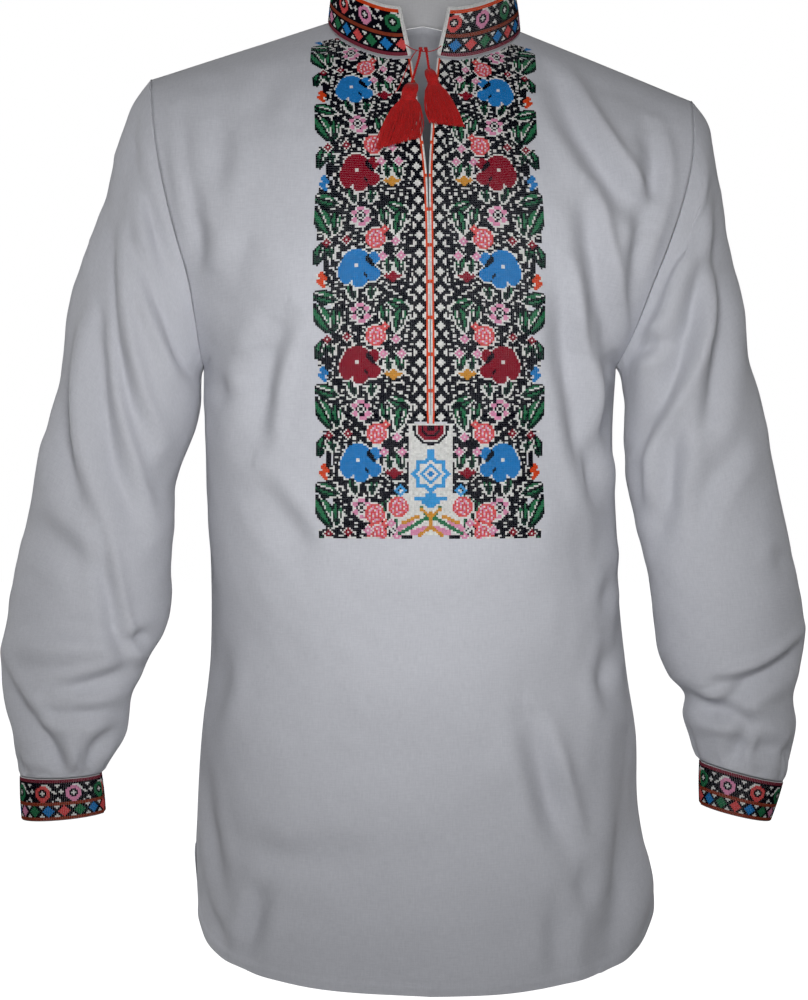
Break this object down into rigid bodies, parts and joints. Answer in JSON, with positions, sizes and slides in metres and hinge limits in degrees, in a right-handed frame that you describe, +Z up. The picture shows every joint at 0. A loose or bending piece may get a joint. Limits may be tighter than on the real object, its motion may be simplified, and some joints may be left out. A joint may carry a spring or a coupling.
{
  "type": "vyshyvanka shirt",
  "caption": "Embroidered pullover shirt, worn form with both arms down: stand collar, tied neck slit with tassels, long sleeves with lapped cuffs, curved hem.",
  "frame": {"origin": "midway between the two points where the shoulder seams meet the collar", "axes": "-Y is the way the wearer faces, +X is the wearer's left, +Z is up"},
  "size_m": [0.6702, 0.2431, 0.8387],
  "materials": {
    "white cloth": "plain-woven white linen and cotton, matt",
    "embroidered band": "cross-stitch on white cloth, two layers, dark ground with coloured rows",
    "red cord": "dark red mercerised cotton"
  },
  "bodies": {
    "root": {"front": "white cloth", "back": "white cloth", "sleeve_left": "white cloth", "sleeve_right": "white cloth", "collar": "embroidered band", "cuff_left": "embroidered band", "cuff_right": "embroidered band", "collar_thread": "red cord", "cord_left": "red cord", "cord_right": "red cord", "tassel_left": "red cord", "tassel_right": "red cord"}
  },
  "joints": []
}
